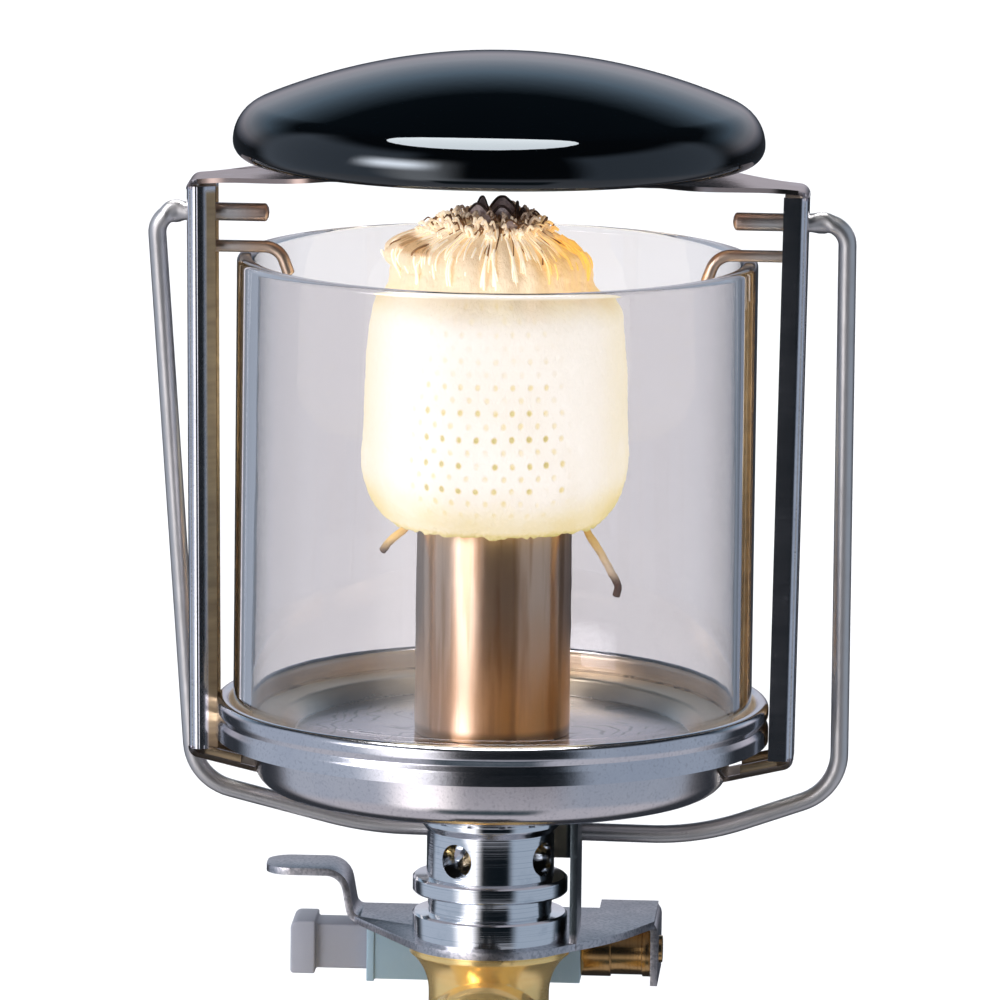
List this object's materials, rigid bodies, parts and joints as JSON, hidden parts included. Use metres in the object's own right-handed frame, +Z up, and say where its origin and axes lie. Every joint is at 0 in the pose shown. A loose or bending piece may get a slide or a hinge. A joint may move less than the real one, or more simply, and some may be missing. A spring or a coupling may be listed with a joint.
{
  "type": "gas lantern",
  "caption": "Cartridge-top gas lantern: enamelled shade over a pressed frame and straight glass globe, mantle burner, mixing tube, control valve, push igniter and wire bail.",
  "frame": {"origin": "centre of the cartridge thread's mouth, in the foot of the cartridge collar", "axes": "+Z up along the burner axis, -Y towards the front where the control knob is, +X to the right seen from the front, along the frame's two posts"},
  "size_m": [0.0816, 0.064, 0.1373],
  "materials": {
    "brass": "turned and polished",
    "dark_brass": "polished, amber",
    "bronze_filter": "sintered, rough",
    "nickel_plate": "bright nickel plate on pressed sheet",
    "bright_chrome": "turned and chrome plated",
    "bracket_steel": "satin",
    "burner_steel": "polished steel tinted bronze by heat",
    "spring_wire": "drawn wire, satin",
    "stainless": "turned, satin",
    "black_enamel": "glossy black enamel",
    "clear_glass": "clear, fire polished rim",
    "mantle_ash": "knitted ash, glowing",
    "tie_string": "scorched cotton string",
    "case_plastic": "blue grey, smooth",
    "button_plastic": "grey, smooth",
    "knob_plastic": "black, fine grain",
    "seal_rubber": "matt black",
    "white_ceramic": "smooth, unglazed"
  },
  "bodies": {
    "lantern": {"valve_body": "brass", "gland_nut": "brass", "gas_jet": "brass", "pusher_pin": "brass", "cartridge_collar": "brass", "igniter_end_cap": "dark_brass", "gas_filter": "bronze_filter", "hood_frame": "nickel_plate", "globe_tray": "nickel_plate", "base_pan": "nickel_plate", "mixing_tube": "bright_chrome", "toothed_washer": "bright_chrome", "igniter_bracket": "bracket_steel", "burner_tube": "burner_steel", "burner_gauze": "burner_steel", "burner_head": "burner_steel", "left_globe_hook": "spring_wire", "right_globe_hook": "spring_wire", "spark_electrode": "stainless", "shade_spacer": "stainless", "shade_rivet": "stainless", "shade": "black_enamel", "globe": "clear_glass", "mantle": "mantle_ash", "mantle_string": "tie_string", "igniter_case": "case_plastic", "cartridge_seal": "seal_rubber", "electrode_insulator": "white_ceramic"},
    "bail": {"bail": "spring_wire"},
    "igniter_button": {"igniter_button": "button_plastic"},
    "valve_control": {"control_knob": "knob_plastic", "valve_spindle": "stainless", "spindle_seal": "seal_rubber", "knob_screw": "stainless"}
  },
  "joints": [
    {"name": "bail_swing", "type": "hinge", "parent": "lantern", "child": "bail", "pos_m": [0, 0, 0.1185], "axis": [1, 0, 0], "range_deg": [0, 345]},
    {"name": "igniter_push", "type": "slide", "parent": "lantern", "child": "igniter_button", "axis": [1, 0, 0], "range_m": [0, 0.0045], "stiffness_N_per_m": 3000},
    {"name": "valve_turn", "type": "hinge", "parent": "lantern", "child": "valve_control", "pos_m": [0, -0.02, 0.023], "axis": [0, -1, 0], "range_deg": [-90, 360]}
  ]
}
